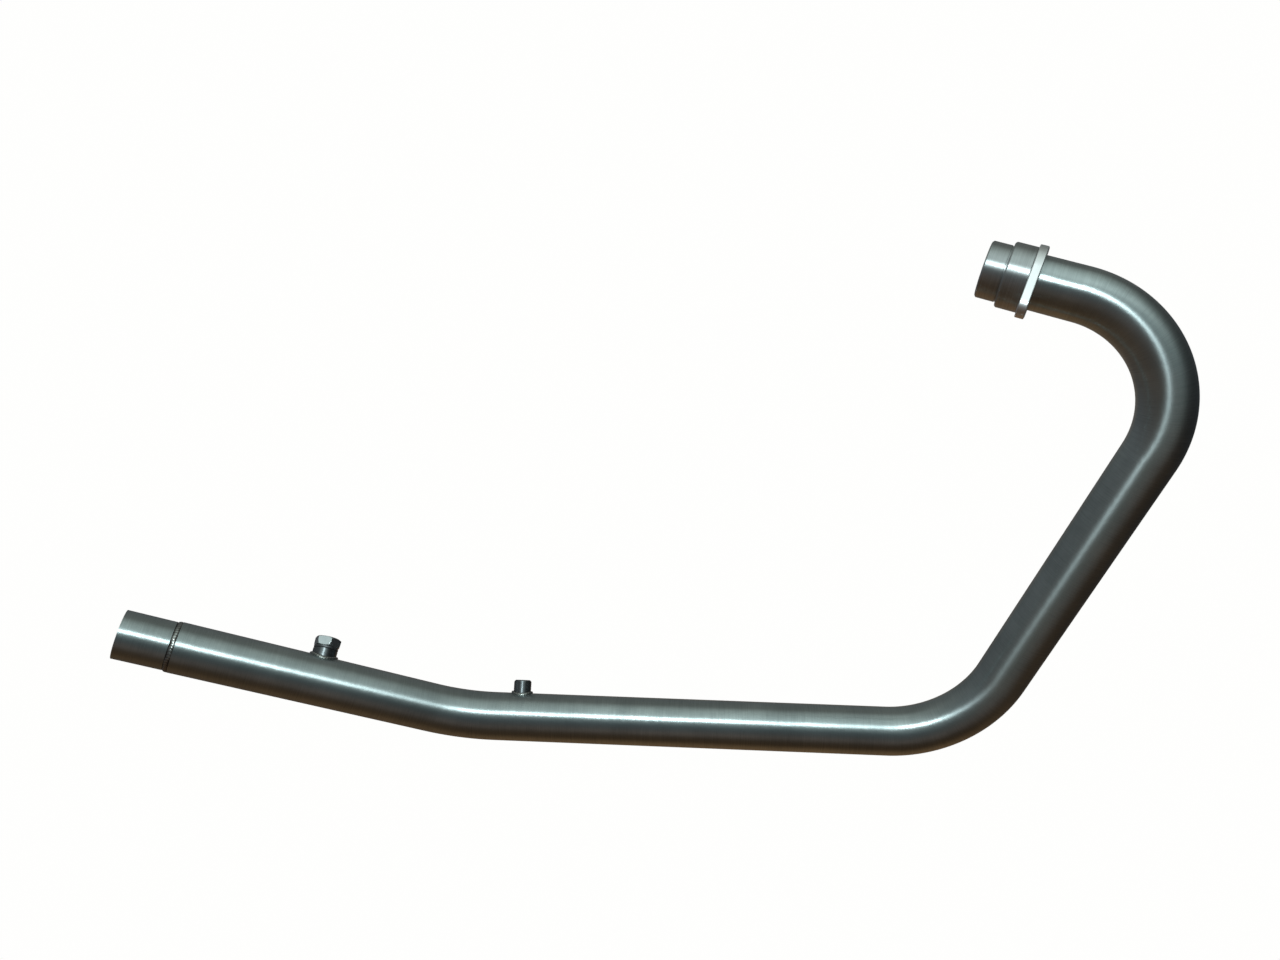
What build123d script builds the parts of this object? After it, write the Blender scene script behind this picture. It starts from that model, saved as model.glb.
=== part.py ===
from build123d import *
import os
from math import radians, sqrt, tan

# Motorcycle exhaust header for the right-hand side, in millimetres and degrees.
# The origin is the centre of the port spigot's mouth. +X points forward along the lower run,
# +Y points inboard and +Z points up.

# Pipe, from the port end to the outlet end
pipe_diameter = 44.5
pipe_wall = 1.5
stub_length = 34.3
port_bend_radius = 92.0
port_bend_angle = 99.5
port_bend_roll = 22.0
down_length = 234.0
lower_bend_radius = 101.0
lower_bend_angle = 70.0
lower_length = 366.5
tail_bend_radius = 130.0
tail_bend_angle = 27.0
tail_bend_roll = -26.5
tail_length = 229.5

# Port collar, turned from bar
collar_spigot_length = 17.0
collar_spigot_wall = 3.5
collar_ring_length = 18.0
collar_ring_wall = 4.15
collar_bore_step = 1.25
socket_depth = 13.0
socket_clearance = 0.1
collar_chamfer = 1.2

# Loose two-bolt flange
flange_thickness = 7.0
flange_rim = 6.25
flange_turn = 18.0
bolt_spacing = 70.0
bolt_hole_diameter = 9.0
ear_margin = 6.0
flange_pipe_clearance = 0.5
flange_seat_gap = 0.2
flange_edge_chamfer = 0.8

# Outlet slip sleeve, with a turned-down tongue that goes into the pipe
sleeve_step = 1.1
sleeve_wall = 1.6
sleeve_reach = 45.5
tongue_length = 20.0
tongue_clearance = 0.1
tongue_edge = 0.4

# Welds
ring_weld_leg = 1.6
outlet_weld_width = 4.5
ring_weld_relief = 0.6
saddle_weld_leg = 2.2
saddle_weld_bevel = 1.5
cope_clearance = 0.05

# Sensor bung with its plug, on the tail
bung_from_bend = 107.5
bung_tilt = 47.0
bung_height = 6.5
bung_wall = 5.6
bung_bore_diameter = 10.8
bung_port_margin = 1.5
bung_chamfer = 0.8
thread_clearance = 0.1
plug_across_flats = 21.0
plug_turn = 38.0
plug_head_height = 8.5
plug_head_bevel = 30.0
plug_face_inset = 0.4
plug_thread_length = 9.0
plug_washer_diameter = 22.0
plug_washer_thickness = 2.0
plug_washer_clearance = 0.4

# Bracket boss, on the lower run
boss_before_bend = 24.0
boss_tilt = 39.0
boss_diameter = 16.4
boss_height = 12.0
boss_chamfer = 1.0
boss_thread_diameter = 6.8
boss_thread_depth = 10.0

# Radii and lengths that follow from the sizes above
pipe_radius = pipe_diameter / 2
pipe_bore_radius = pipe_radius - pipe_wall
collar_bore_radius = pipe_bore_radius - collar_bore_step
collar_spigot_radius = collar_bore_radius + collar_spigot_wall
collar_socket_radius = pipe_radius + socket_clearance
collar_ring_radius = collar_socket_radius + collar_ring_wall
collar_length = collar_spigot_length + collar_ring_length
pipe_start = collar_length - socket_depth
flange_start = collar_length + flange_seat_gap
flange_bore_radius = pipe_radius + flange_pipe_clearance
flange_body_radius = flange_bore_radius + flange_rim
flange_relief = ring_weld_leg + ring_weld_relief
inlet_length = flange_start + flange_thickness + stub_length
sleeve_radius = pipe_radius - sleeve_step
sleeve_bore_radius = sleeve_radius - sleeve_wall
tongue_radius = pipe_bore_radius - tongue_clearance
bung_bore_radius = bung_bore_diameter / 2
bung_radius = bung_bore_radius + bung_wall
plug_thread_radius = bung_bore_radius - thread_clearance
boss_radius = boss_diameter / 2

# Directions of the four straight runs. Each bend turns the run about its own axis, and the port
# and tail bends are rolled out of the upright plane of the lower bend.
origin = Vector(0, 0, 0)
rearward = Vector(-1, 0, 0)
inboard = Vector(0, 1, 0)
upward = Vector(0, 0, 1)
down_direction = rearward.rotate(Axis(origin, inboard), -lower_bend_angle)
port_bend_axis = Axis(origin, inboard.rotate(Axis(origin, down_direction), port_bend_roll))
inlet_direction = down_direction.rotate(port_bend_axis, -port_bend_angle)
tail_bend_axis = Axis(origin, inboard.rotate(Axis(origin, rearward), tail_bend_roll))
tail_direction = rearward.rotate(tail_bend_axis, tail_bend_angle)


def bend_setback(radius, angle):
    """Distance from a bend's corner to where its arc starts."""
    return radius * tan(radians(angle / 2))


port_setback = bend_setback(port_bend_radius, port_bend_angle)
lower_setback = bend_setback(lower_bend_radius, lower_bend_angle)
tail_setback = bend_setback(tail_bend_radius, tail_bend_angle)

# Corners of the centre line, before its bends round them off
pipe_mouth = inlet_direction * pipe_start
port_corner = inlet_direction * (inlet_length + port_setback)
lower_corner = port_corner + down_direction * (port_setback + down_length + lower_setback)
tail_corner = lower_corner + rearward * (lower_setback + lower_length + tail_setback)
pipe_end = tail_corner + tail_direction * (tail_setback + tail_length)

# Seats of the fittings, on the centre line, each facing out of the pipe
tail_side = tail_direction.cross(upward).normalized()
tail_up = tail_side.cross(tail_direction)
bung_direction = tail_up.rotate(Axis(origin, tail_direction), bung_tilt)
bung_seat = tail_corner + tail_direction * (tail_setback + bung_from_bend)
boss_direction = upward.rotate(Axis(origin, rearward), boss_tilt)
boss_seat = tail_corner - rearward * (tail_setback + boss_before_bend)
bung_plane = Plane(bung_seat, x_dir=tail_direction, z_dir=bung_direction)
boss_plane = Plane(boss_seat, x_dir=rearward, z_dir=boss_direction)
bung_top_plane = bung_plane.offset(pipe_radius + bung_height)
plug_head_plane = bung_top_plane.offset(plug_washer_thickness)
boss_top_plane = boss_plane.offset(pipe_radius + boss_height)

# Turned pieces are drawn as half sections: x along the axis, y outward from it
inlet_axis = Axis(origin, inlet_direction)
outlet_axis = Axis(pipe_end, tail_direction)
inlet_section = Plane(origin, x_dir=inlet_direction, z_dir=inlet_direction.cross(upward))
outlet_section = Plane(pipe_end, x_dir=tail_direction, z_dir=tail_direction.cross(upward))
plug_section = Plane(plug_head_plane.origin, x_dir=bung_direction, z_dir=tail_direction)


def saddle_weld(fitting_plane, fitting_radius):
    """Weld round the foot of a fitting, following the curve of the pipe."""
    run_plane = Plane(fitting_plane.origin, x_dir=fitting_plane.z_dir, z_dir=fitting_plane.x_dir)
    outer_radius = fitting_radius + saddle_weld_leg
    with BuildPart() as bead:
        with BuildSketch(fitting_plane):
            Circle(outer_radius)
        extrude(amount=pipe_radius + saddle_weld_leg)
        with BuildSketch(run_plane):
            Circle(pipe_radius + saddle_weld_leg)
        extrude(amount=outer_radius, both=True, mode=Mode.INTERSECT)
        chamfer(bead.edges().sort_by_distance(fitting_plane.origin)[-1], saddle_weld_bevel)
        with BuildSketch(run_plane):
            Circle(pipe_radius + cope_clearance)
        extrude(amount=2 * outer_radius, both=True, mode=Mode.SUBTRACT)
        with BuildSketch(fitting_plane):
            Circle(fitting_radius + cope_clearance)
        extrude(amount=2 * pipe_radius, mode=Mode.SUBTRACT)
    return bead


with BuildLine() as centre_line:
    FilletPolyline(
        pipe_mouth,
        port_corner,
        lower_corner,
        tail_corner,
        pipe_end,
        radius=[port_bend_radius, lower_bend_radius, tail_bend_radius],
    )

with BuildPart() as header_pipe:
    with BuildSketch(Plane(pipe_mouth, z_dir=inlet_direction)):
        Circle(pipe_radius)
        Circle(pipe_bore_radius, mode=Mode.SUBTRACT)
    sweep(path=centre_line.line)
    with BuildSketch(bung_plane):
        Circle(bung_bore_radius + bung_port_margin)
    extrude(amount=2 * pipe_radius, mode=Mode.SUBTRACT)

with BuildPart() as port_collar:
    with BuildSketch(inlet_section):
        with BuildLine():
            Polyline(
                (0, collar_bore_radius),
                (0, collar_spigot_radius - collar_chamfer),
                (collar_chamfer, collar_spigot_radius),
                (collar_spigot_length, collar_spigot_radius),
                (collar_spigot_length, collar_ring_radius - collar_chamfer),
                (collar_spigot_length + collar_chamfer, collar_ring_radius),
                (collar_length, collar_ring_radius),
                (collar_length, collar_socket_radius),
                (pipe_start, collar_socket_radius),
                (pipe_start, collar_bore_radius),
                close=True,
            )
        make_face()
    revolve(axis=inlet_axis)

with BuildPart() as collar_weld:
    with BuildSketch(inlet_section):
        with BuildLine():
            Polyline(
                (collar_length, pipe_radius + cope_clearance),
                (collar_length, pipe_radius + ring_weld_leg),
                (collar_length + ring_weld_leg, pipe_radius + cope_clearance),
                close=True,
            )
        make_face()
    revolve(axis=inlet_axis)

ear_direction = upward.cross(inlet_direction).normalized().rotate(inlet_axis, flange_turn)
flange_plane = Plane(inlet_direction * flange_start, x_dir=ear_direction, z_dir=inlet_direction)
with BuildPart() as port_flange:
    with BuildSketch(flange_plane):
        Circle(flange_body_radius)
        with GridLocations(bolt_spacing, 0, 2, 1):
            Circle(bolt_hole_diameter / 2 + ear_margin)
        make_hull()
        Circle(flange_bore_radius, mode=Mode.SUBTRACT)
        with GridLocations(bolt_spacing, 0, 2, 1):
            Circle(bolt_hole_diameter / 2, mode=Mode.SUBTRACT)
    extrude(amount=flange_thickness)
    front_face = port_flange.faces().sort_by(inlet_axis)[0]
    rear_face = port_flange.faces().sort_by(inlet_axis)[-1]
    bore_edge = front_face.inner_wires().sort_by(SortBy.LENGTH)[-1].edges()
    outer_edges = front_face.outer_wire().edges() + rear_face.outer_wire().edges()
    chamfer(bore_edge, flange_relief)
    chamfer(outer_edges, flange_edge_chamfer)

with BuildPart() as outlet_sleeve:
    with BuildSketch(outlet_section):
        with BuildLine():
            Polyline(
                (-tongue_length, tongue_radius - tongue_edge),
                (-tongue_length, tongue_radius),
                (outlet_weld_width, tongue_radius),
                (outlet_weld_width, sleeve_radius),
                (sleeve_reach, sleeve_radius),
                (sleeve_reach, sleeve_bore_radius),
                (0, sleeve_bore_radius),
                close=True,
            )
        make_face()
    revolve(axis=outlet_axis)

with BuildPart() as outlet_weld:
    with BuildSketch(outlet_section):
        with BuildLine():
            Polyline(
                (0, tongue_radius + cope_clearance),
                (0, pipe_radius),
                (outlet_weld_width, sleeve_radius),
                (outlet_weld_width, tongue_radius + cope_clearance),
                close=True,
            )
        make_face()
    revolve(axis=outlet_axis)

with BuildPart() as sensor_bung:
    with BuildSketch(bung_plane):
        Circle(bung_radius)
    extrude(amount=pipe_radius + bung_height)
    chamfer(sensor_bung.edges().sort_by_distance(bung_seat)[-1], bung_chamfer)
    with BuildSketch(Plane(bung_seat, x_dir=bung_direction, z_dir=tail_direction)):
        Circle(pipe_radius + cope_clearance)
    extrude(amount=2 * bung_radius, both=True, mode=Mode.SUBTRACT)
    with BuildSketch(bung_plane):
        Circle(bung_bore_radius)
    extrude(amount=pipe_radius + bung_height, mode=Mode.SUBTRACT)

bung_weld = saddle_weld(bung_plane, bung_radius)

with BuildPart() as plug_washer:
    with BuildSketch(bung_top_plane):
        Circle(plug_washer_diameter / 2)
        Circle(plug_thread_radius + plug_washer_clearance, mode=Mode.SUBTRACT)
    extrude(amount=plug_washer_thickness)

# The head's corners are turned off on its top, which leaves a round face a little inside its flats
plug_face_radius = plug_across_flats / 2 - plug_face_inset
plug_cone_radius = plug_across_flats / sqrt(3) + plug_face_inset
plug_bevel_drop = (plug_cone_radius - plug_face_radius) * tan(radians(plug_head_bevel))
with BuildPart() as sensor_plug:
    with BuildSketch(plug_head_plane):
        RegularPolygon(plug_across_flats / 2, 6, major_radius=False, rotation=plug_turn)
    extrude(amount=plug_head_height)
    with BuildSketch(plug_section):
        with BuildLine():
            Polyline(
                (0, 0),
                (0, plug_cone_radius),
                (plug_head_height - plug_bevel_drop, plug_cone_radius),
                (plug_head_height, plug_face_radius),
                (plug_head_height, 0),
                close=True,
            )
        make_face()
    revolve(axis=Axis(plug_head_plane.origin, bung_direction), mode=Mode.INTERSECT)
    with BuildSketch(plug_head_plane):
        Circle(plug_thread_radius)
    extrude(amount=-(plug_washer_thickness + plug_thread_length))

with BuildPart() as bracket_boss:
    with BuildSketch(boss_plane):
        Circle(boss_radius)
    extrude(amount=pipe_radius + boss_height)
    chamfer(bracket_boss.edges().sort_by_distance(boss_seat)[-1], boss_chamfer)
    with BuildSketch(Plane(boss_seat, x_dir=boss_direction, z_dir=rearward)):
        Circle(pipe_radius + cope_clearance)
    extrude(amount=2 * boss_radius, both=True, mode=Mode.SUBTRACT)
    with BuildSketch(boss_top_plane):
        Circle(boss_thread_diameter / 2)
    extrude(amount=-boss_thread_depth, mode=Mode.SUBTRACT)

boss_weld = saddle_weld(boss_plane, boss_radius)

pieces = {
    "header_pipe": header_pipe,
    "port_collar": port_collar,
    "collar_weld": collar_weld,
    "port_flange": port_flange,
    "outlet_sleeve": outlet_sleeve,
    "outlet_weld": outlet_weld,
    "sensor_bung": sensor_bung,
    "bung_weld": bung_weld,
    "plug_washer": plug_washer,
    "sensor_plug": sensor_plug,
    "bracket_boss": bracket_boss,
    "boss_weld": boss_weld,
}
os.makedirs("parts", exist_ok=True)
for name, piece in pieces.items():
    piece.part.label = name
    export_step(piece.part, f"parts/{name}.step")
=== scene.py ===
"""A motorcycle exhaust header: a bent, belt-polished stainless tube with its welded and bolted fittings."""

import logging
import math
from collections.abc import Callable, Sequence
from dataclasses import dataclass, field
from enum import Enum
from typing import Protocol

import bpy
from mathutils import Matrix, Quaternion, Vector


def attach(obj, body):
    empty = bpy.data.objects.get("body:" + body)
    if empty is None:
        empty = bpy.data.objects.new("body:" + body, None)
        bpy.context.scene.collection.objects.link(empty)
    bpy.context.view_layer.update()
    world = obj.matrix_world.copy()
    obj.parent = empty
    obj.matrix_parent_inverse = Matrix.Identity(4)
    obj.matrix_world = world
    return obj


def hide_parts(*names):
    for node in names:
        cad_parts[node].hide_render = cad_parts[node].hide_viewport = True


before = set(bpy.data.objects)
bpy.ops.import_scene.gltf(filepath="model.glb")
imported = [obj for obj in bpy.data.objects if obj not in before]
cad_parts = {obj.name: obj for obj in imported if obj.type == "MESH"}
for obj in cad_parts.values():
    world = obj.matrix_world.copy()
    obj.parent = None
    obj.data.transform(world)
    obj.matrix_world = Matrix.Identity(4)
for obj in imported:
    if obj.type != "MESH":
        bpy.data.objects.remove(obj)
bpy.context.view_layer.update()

log = logging.getLogger("exhaust_header")

# Sizes are in millimetres and angles in degrees, unless a docstring says otherwise. Meshes are in metres.
MM = 0.001
MERGE_DISTANCE = 0.002
# Length of a cutter that goes right through a piece, and faces round a drill and round the coping cutter
CUTTER_LENGTH = 100.0
DRILL_SIDES = 64
COPE_SIDES = 256
# Edges that are sharper than the least angle of an edge by less than this are still shaded smooth
SMOOTH_MARGIN = 5.0
UPWARD = Vector((0.0, 0.0, 1.0))
INBOARD = Vector((0.0, 1.0, 0.0))
REARWARD = Vector((-1.0, 0.0, 0.0))

# Points of a half section: distance along the axis and out from it
Profile = Sequence[tuple[float, float]]
# Stops of a colour ramp: place, and linear red, green, blue and alpha
Stops = Sequence[tuple[float, tuple[float, float, float, float]]]


class Body(Enum):
    """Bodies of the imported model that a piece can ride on."""

    HEADER = "header"
    FLANGE = "flange"


class Slot(Enum):
    """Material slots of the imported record."""

    BRUSHED = "brushed_stainless"
    TURNED = "turned_stainless"
    WELD = "weld_stainless"
    FLANGE = "flange_steel"
    PLUG = "plug_steel"
    WASHER = "washer_aluminium"


# Placing


class Unrolls(Protocol):
    """Anything that can say where a point lies along and round a piece."""

    def unroll(self, point: Vector) -> tuple[Vector, Vector]:
        """Straightened place of a point, in metres, and the way across its finishing marks."""


@dataclass(frozen=True)
class Seat:
    """Place of a turned piece: a point on its axis, the axis, and a direction across it."""

    origin: Vector
    axis: Vector
    across: Vector
    # How far the way across the marks leans outwards, so that it holds on end faces too
    lean: float = 0.7

    def matrix(self) -> Matrix:
        """Works out how a piece that is drawn about Z at the origin gets to its place.

        Returns:
            The matrix, in metres.
        """
        side = self.axis.cross(self.across).normalized()
        across = side.cross(self.axis).normalized()
        turned = Matrix((across, side, self.axis)).transposed().to_4x4()
        return Matrix.Translation(self.origin * MM) @ turned

    def shifted(self, distance: float) -> "Seat":
        """The same seat, moved along its own axis."""
        return Seat(self.origin + self.axis * distance, self.axis, self.across)

    def unroll(self, point: Vector) -> tuple[Vector, Vector]:
        """Finds a point's place along and round the axis.

        Args:
            point: A point in metres, in the frame of the part.

        Returns:
            Length along the axis and the two coordinates across it, in metres, and the way across the
            turning marks: along the axis on a wall, and outwards on a face.
        """
        local = self.matrix().inverted() @ point
        radial = (point - self.origin * MM) - self.axis * local.z
        outward = radial.normalized() if radial.length > 1e-6 else self.across
        return Vector((local.z, local.x, local.y)), (self.axis + outward * self.lean).normalized()


@dataclass(frozen=True)
class Straight:
    """Straight run of the centre line."""

    start: Vector
    direction: Vector
    length: float

    def nearest(self, point: Vector) -> tuple[float, Vector, Quaternion]:
        """Nearest place on the run: length along it, the point there, and how far the run has turned."""
        along = min(max((point - self.start).dot(self.direction), 0.0), self.length)
        return along, self.start + self.direction * along, Quaternion()

    def end(self) -> tuple[Vector, Quaternion]:
        """Where the run ends, and how far it has turned."""
        return self.start + self.direction * self.length, Quaternion()


@dataclass(frozen=True)
class Bend:
    """Round bend of the centre line about an axis, with its angle in radians."""

    start: Vector
    direction: Vector
    axis: Vector
    radius: float
    angle: float

    @property
    def length(self) -> float:
        """Length of the arc."""
        return self.radius * self.angle

    @property
    def centre(self) -> Vector:
        """Point that the bend goes round."""
        return self.start + self.axis.cross(self.direction) * self.radius

    def nearest(self, point: Vector) -> tuple[float, Vector, Quaternion]:
        """Finds the nearest place on the bend.

        Args:
            point: A point, in millimetres.

        Returns:
            Length along the bend, the point there, and how far the bend has turned.
        """
        spoke = self.start - self.centre
        reach = point - self.centre
        flat = reach - self.axis * reach.dot(self.axis)
        angle = math.atan2(self.axis.dot(spoke.cross(flat)), spoke.dot(flat))
        angle = min(max(angle, 0.0), self.angle)
        turned = Quaternion(self.axis, angle)
        return angle * self.radius, self.centre + turned @ spoke, turned

    def end(self) -> tuple[Vector, Quaternion]:
        """Where the bend ends, and how far it has turned."""
        turned = Quaternion(self.axis, self.angle)
        return self.centre + turned @ (self.start - self.centre), turned


@dataclass(frozen=True)
class Route:
    """The tube's radius and its centre line, from the port to the outlet."""

    tube_radius: float = 22.25
    inlet_length: float = 76.5
    tube_start: float = 22.0
    port_bend_radius: float = 92.0
    port_bend_angle: float = 99.5
    port_bend_roll: float = 22.0
    down_length: float = 234.0
    lower_bend_radius: float = 101.0
    lower_bend_angle: float = 70.0
    lower_length: float = 366.5
    tail_bend_radius: float = 130.0
    tail_bend_angle: float = 27.0
    tail_bend_roll: float = -26.5
    tail_length: float = 229.5
    bung_from_bend: float = 107.5
    bung_tilt: float = 47.0
    boss_before_bend: float = 24.0
    boss_tilt: float = 39.0
    # How far the way across the belt marks leans outwards, so that it holds on the tube's end faces too
    lean: float = 0.3
    runs: list[Straight | Bend] = field(default_factory=list, init=False)

    def __post_init__(self) -> None:
        """Lays the runs and bends end to end."""
        down = Quaternion(INBOARD, math.radians(-self.lower_bend_angle)) @ REARWARD
        port_axis = Quaternion(down, math.radians(self.port_bend_roll)) @ INBOARD
        inlet = Quaternion(port_axis, math.radians(-self.port_bend_angle)) @ down
        tail_axis = Quaternion(REARWARD, math.radians(self.tail_bend_roll)) @ INBOARD
        tail = Quaternion(tail_axis, math.radians(self.tail_bend_angle)) @ REARWARD
        self.runs.append(Straight(inlet * self.tube_start, inlet, self.inlet_length - self.tube_start))
        self._add_bend(inlet, port_axis, self.port_bend_radius, self.port_bend_angle)
        self._add_straight(down, self.down_length)
        self._add_bend(down, INBOARD, self.lower_bend_radius, self.lower_bend_angle)
        self._add_straight(REARWARD, self.lower_length)
        self._add_bend(REARWARD, tail_axis, self.tail_bend_radius, self.tail_bend_angle)
        self._add_straight(tail, self.tail_length)

    def _end(self) -> Vector:
        """End of the last run laid so far."""
        return self.runs[-1].end()[0]

    def _add_straight(self, direction: Vector, length: float) -> None:
        """Lays a straight run after the last one."""
        self.runs.append(Straight(self._end(), direction, length))

    def _add_bend(self, direction: Vector, axis: Vector, radius: float, angle: float) -> None:
        """Lays a bend after the last run."""
        self.runs.append(Bend(self._end(), direction, axis, radius, math.radians(angle)))

    @property
    def inlet(self) -> Seat:
        """Seat at the mouth of the port collar, facing into the tube."""
        direction = self.runs[0].direction
        return Seat(Vector(), direction, UPWARD.cross(direction).normalized())

    @property
    def outlet(self) -> Seat:
        """Seat at the end of the tube, facing out of it."""
        return Seat(self._end(), self.runs[-1].direction, UPWARD)

    @property
    def bung(self) -> Seat:
        """Finds where the sensor bung sits.

        Returns:
            A seat on the tail's centre line, facing out of the tube.
        """
        tail = self.runs[-1]
        side = tail.direction.cross(UPWARD).normalized()
        outward = Quaternion(tail.direction, math.radians(self.bung_tilt)) @ side.cross(tail.direction)
        return Seat(tail.start + tail.direction * self.bung_from_bend, outward, tail.direction)

    @property
    def boss(self) -> Seat:
        """Finds where the bracket boss sits.

        Returns:
            A seat on the lower run's centre line, facing out of the tube.
        """
        lower_end = self.runs[4].end()[0]
        outward = Quaternion(REARWARD, math.radians(self.boss_tilt)) @ UPWARD
        return Seat(lower_end - REARWARD * self.boss_before_bend, outward, REARWARD)

    def unroll(self, point: Vector) -> tuple[Vector, Vector]:
        """Finds a point's place on the tube as if the tube were straight.

        Args:
            point: A point in metres, in the frame of the part.

        Returns:
            Length along the centre line and the two coordinates across it, in metres, and the way across
            the belt marks: along the tube on its walls, and outwards on its end faces.
        """
        across = self.inlet.across
        before = 0.0
        places = []
        for run in self.runs:
            along, foot, turned = run.nearest(point / MM)
            distance = (point / MM - foot).length
            places.append((distance, before + along, foot, turned @ run.direction, turned @ across))
            before += run.length
            across = run.end()[1] @ across
        _, length, foot, direction, across = min(places, key=lambda place: place[0])
        offset = point - foot * MM
        spot = Vector((length * MM, offset.dot(across), offset.dot(direction.cross(across))))
        return spot, (direction + offset.normalized() * self.lean).normalized()


# Modelling


def deselect() -> None:
    """Leaves edit mode and deselects everything."""
    if bpy.context.object and bpy.context.object.mode != "OBJECT":
        bpy.ops.object.mode_set(mode="OBJECT")
    bpy.ops.object.select_all(action="DESELECT")


def select(piece: bpy.types.Object) -> None:
    """Selects one piece alone and makes it the active one.

    Args:
        piece: Piece to select.
    """
    deselect()
    piece.select_set(True)
    bpy.context.view_layer.objects.active = piece


def edit(piece: bpy.types.Object) -> None:
    """Enters edit mode on one piece with all of its mesh selected.

    Args:
        piece: Piece with a mesh.
    """
    select(piece)
    bpy.ops.object.mode_set(mode="EDIT")
    bpy.ops.mesh.select_all(action="SELECT")


def settle(piece: bpy.types.Object, inside: bool = False) -> None:
    """Merges doubles, drops faces without area, turns the faces outwards and leaves edit mode.

    Args:
        piece: Piece with a mesh.
        inside: Turn the faces inwards instead.
    """
    edit(piece)
    bpy.ops.mesh.remove_doubles(threshold=MERGE_DISTANCE * MM)
    bpy.ops.mesh.dissolve_degenerate(threshold=MERGE_DISTANCE * MM)
    bpy.ops.mesh.normals_make_consistent(inside=inside)
    bpy.ops.object.mode_set(mode="OBJECT")


def modify(piece: bpy.types.Object, kind: str, **settings: object) -> None:
    """Adds a modifier and applies it.

    Args:
        piece: Piece with a mesh.
        kind: Blender's name for the modifier.
        settings: Values to set on the modifier.
    """
    select(piece)
    modifier = piece.modifiers.new(kind.title(), kind)
    for name, value in settings.items():
        setattr(modifier, name, value)
    bpy.ops.object.modifier_apply(modifier=modifier.name)


def cut(piece: bpy.types.Object, tool: bpy.types.Object, operation: str = "DIFFERENCE") -> None:
    """Cuts, joins or trims a piece with a tool solid, and removes the tool.

    Args:
        piece: Closed solid to work on.
        tool: Closed solid that cuts, joins or trims.
        operation: Blender's name for the operation.
    """
    modify(piece, "BOOLEAN", object=tool, operation=operation, solver="EXACT")
    bpy.data.objects.remove(tool)


def place(piece: bpy.types.Object, spot: Matrix) -> None:
    """Moves a piece that was drawn about Z, with its new place in its mesh.

    Args:
        piece: Piece with a mesh.
        spot: Where it goes, in metres.
    """
    select(piece)
    piece.matrix_world = spot
    bpy.ops.object.transform_apply(location=True, rotation=True, scale=True)


def rod(name: str, radius: float, depth: float, sides: int, spot: Matrix) -> bpy.types.Object:
    """Adds a plain rod to shape or to cut with.

    Args:
        name: Name of the rod.
        radius: Its radius.
        depth: Its length.
        sides: Faces round it.
        spot: Where it goes, in metres.

    Returns:
        The rod, in place.
    """
    deselect()
    bpy.ops.mesh.primitive_cylinder_add(vertices=sides, radius=radius * MM, depth=depth * MM)
    piece = bpy.context.object
    piece.name = name
    place(piece, spot)
    return piece


def trace(name: str, points: Profile, closed: bool = True) -> bpy.types.Object:
    """Draws a line of edges in the plane of X and Z by extruding one point.

    Args:
        name: Name of the new piece.
        points: Points of the line.
        closed: Join the last point to the first.

    Returns:
        A piece of edges alone, in edit mode with all of it selected.
    """
    deselect()
    bpy.ops.mesh.primitive_plane_add(size=MM)
    piece = bpy.context.object
    piece.name = name
    edit(piece)
    bpy.ops.mesh.merge(type="CENTER")
    spots = [Vector((out, 0.0, along)) * MM for along, out in points]
    bpy.ops.transform.translate(value=spots[0])
    for before, after in zip(spots, spots[1:] + spots[:1] * closed):
        bpy.ops.mesh.extrude_region_move(TRANSFORM_OT_translate={"value": after - before})
    bpy.ops.mesh.select_all(action="SELECT")
    bpy.ops.mesh.remove_doubles(threshold=MERGE_DISTANCE * MM)
    return piece


def turn(name: str, points: Profile, steps: int = 128) -> bpy.types.Object:
    """Turns a closed half section about the Z axis.

    Args:
        name: Name of the new piece.
        points: Closed half section.
        steps: Faces round the axis.

    Returns:
        The turned solid, drawn about Z at the origin.
    """
    piece = trace(name, points)
    bpy.ops.mesh.spin(steps=steps, angle=math.tau, center=(0, 0, 0), axis=(0, 0, 1))
    settle(piece)
    return piece


def soften(piece: bpy.types.Object, width: float, angle: float = 30.0) -> None:
    """Rounds a piece's edges and shades it.

    Args:
        piece: Piece with a mesh.
        width: Width of the rounding, or 0 for none.
        angle: Least angle of an edge that counts as one.
    """
    if width:
        limit = math.radians(angle)
        modify(piece, "BEVEL", width=width * MM, segments=3, limit_method="ANGLE", angle_limit=limit)
        settle(piece)
    select(piece)
    bpy.ops.object.shade_smooth_by_angle(angle=math.radians(angle + SMOOTH_MARGIN))
    if width:
        modify(piece, "WEIGHTED_NORMAL", keep_sharp=True, weight=100)


def stamp(piece: bpy.types.Object, surface: Unrolls) -> None:
    """Keeps on each vertex where it lies along and round the piece, and the way across its finishing marks.

    Args:
        piece: Finished piece, in place.
        surface: Route or seat that the piece follows.
    """
    grain = piece.data.attributes.new("grain", "FLOAT_VECTOR", "POINT")
    lay = piece.data.attributes.new("lay", "FLOAT_VECTOR", "POINT")
    for vertex in piece.data.vertices:
        spot, way = surface.unroll(vertex.co)
        grain.data[vertex.index].vector = spot
        lay.data[vertex.index].vector = way


def fit(piece: bpy.types.Object, seat: Seat, edge: float, angle: float = 30.0) -> bpy.types.Object:
    """Rounds the edges of a piece that was drawn about Z, puts it on its seat and stamps it.

    Args:
        piece: Shaped piece.
        seat: Where it goes.
        edge: Width of the rounding, or 0 for none.
        angle: Least angle of an edge that counts as one.

    Returns:
        The same piece, in place.
    """
    soften(piece, edge, angle)
    place(piece, seat.matrix())
    stamp(piece, seat)
    return piece


def cope(piece: bpy.types.Object, radius: float) -> None:
    """Cuts the foot of a fitting, drawn about Z, to the curve of a tube that runs along X.

    Args:
        piece: Turned fitting.
        radius: Radius of the cut.
    """
    cut(piece, rod("cope_cutter", radius, CUTTER_LENGTH, COPE_SIDES, Matrix.Rotation(math.pi / 2, 4, "Y")))


# Finishes


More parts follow.
